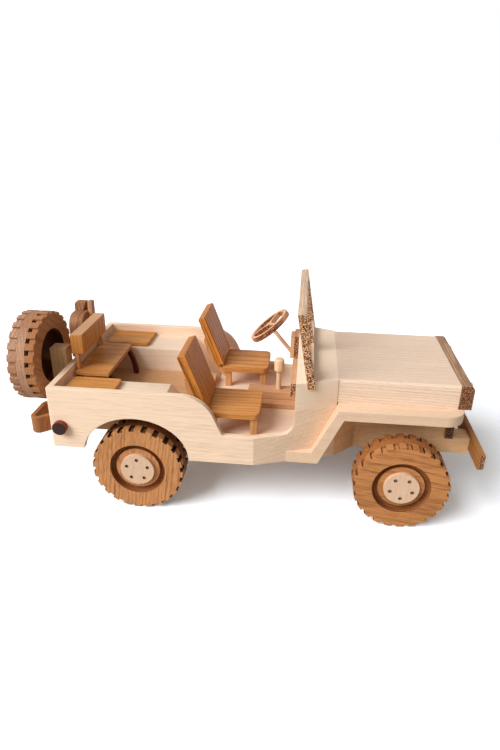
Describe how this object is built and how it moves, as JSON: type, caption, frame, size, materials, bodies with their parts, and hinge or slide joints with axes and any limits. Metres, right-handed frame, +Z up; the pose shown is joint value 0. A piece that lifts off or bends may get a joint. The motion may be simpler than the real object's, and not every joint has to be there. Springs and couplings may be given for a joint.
{
  "type": "wooden model army 4x4 car",
  "caption": "Open wooden model car of boards, blocks and dowels, with seats, a leaning windshield frame, lugged layered tyres on turning axles and a spare behind.",
  "frame": {"origin": "middle of the bounding box, on the floor under the wheels", "axes": "+X towards the front bumper, +Y towards the model's left side, +Z up"},
  "size_m": [0.362, 0.1566, 0.1666],
  "materials": {
    "pale_board": "satin",
    "hood_board": "satin",
    "speckled_board": "satin",
    "golden_board": "satin",
    "brown_strip": "satin",
    "tyre_wood": "satin",
    "pale_dowel": "satin",
    "speckled_ring": "satin",
    "grey_walnut": "satin",
    "bent_strip": "satin",
    "dark_peg": "satin"
  },
  "bodies": {
    "body": {"axle_beam_front": "pale_board", "axle_beam_rear": "pale_board", "bench_back": "golden_board", "bench_legs": "brown_strip", "bench_seat": "golden_board", "bench_struts": "brown_strip", "chassis_rails": "pale_board", "column_block": "speckled_board", "column_pad": "pale_board", "corner_wedges": "pale_board", "cowl": "pale_board", "cross_board": "speckled_board", "dash_board": "speckled_board", "engine_sides": "pale_board", "fender_left": "pale_board", "fender_right": "pale_board", "firewall": "pale_board", "floor": "pale_board", "front_bumper": "speckled_board", "fuel_can": "grey_walnut", "gear_lever": "pale_dowel", "grille": "speckled_board", "headlamps": "pale_dowel", "hood": "hood_board", "rear_floor": "pale_board", "rear_loops": "bent_strip", "seat_back_left": "golden_board", "seat_back_right": "golden_board", "seat_base_left": "golden_board", "seat_base_right": "golden_board", "seat_legs_left": "brown_strip", "seat_legs_right": "brown_strip", "side_board_left": "pale_board", "side_board_right": "pale_board", "side_pads": "golden_board", "spare_block": "pale_dowel", "spare_peg": "pale_dowel", "spare_tyre": "tyre_wood", "steering_column": "pale_dowel", "steering_wheel": "speckled_ring", "tail_pegs": "dark_peg", "tailgate": "pale_board", "toe_boards": "pale_board", "tunnel_high": "brown_strip", "tunnel_low": "brown_strip", "wheel_well_left": "pale_board", "wheel_well_right": "pale_board", "windshield": "speckled_board"},
    "front_axle": {"axle_front": "pale_dowel", "hubs_front": "pale_dowel", "tyre_front_left": "tyre_wood", "tyre_front_right": "tyre_wood"},
    "rear_axle": {"axle_rear": "pale_dowel", "hubs_rear": "pale_dowel", "tyre_rear_left": "tyre_wood", "tyre_rear_right": "tyre_wood"}
  },
  "joints": [
    {"name": "front_axle_spin", "type": "hinge", "parent": "body", "child": "front_axle", "pos_m": [0.1224, 0, 0.036], "axis": [0, 1, 0], "continuous": true},
    {"name": "rear_axle_spin", "type": "hinge", "parent": "body", "child": "rear_axle", "pos_m": [-0.081, 0, 0.036], "axis": [0, 1, 0], "continuous": true}
  ]
}
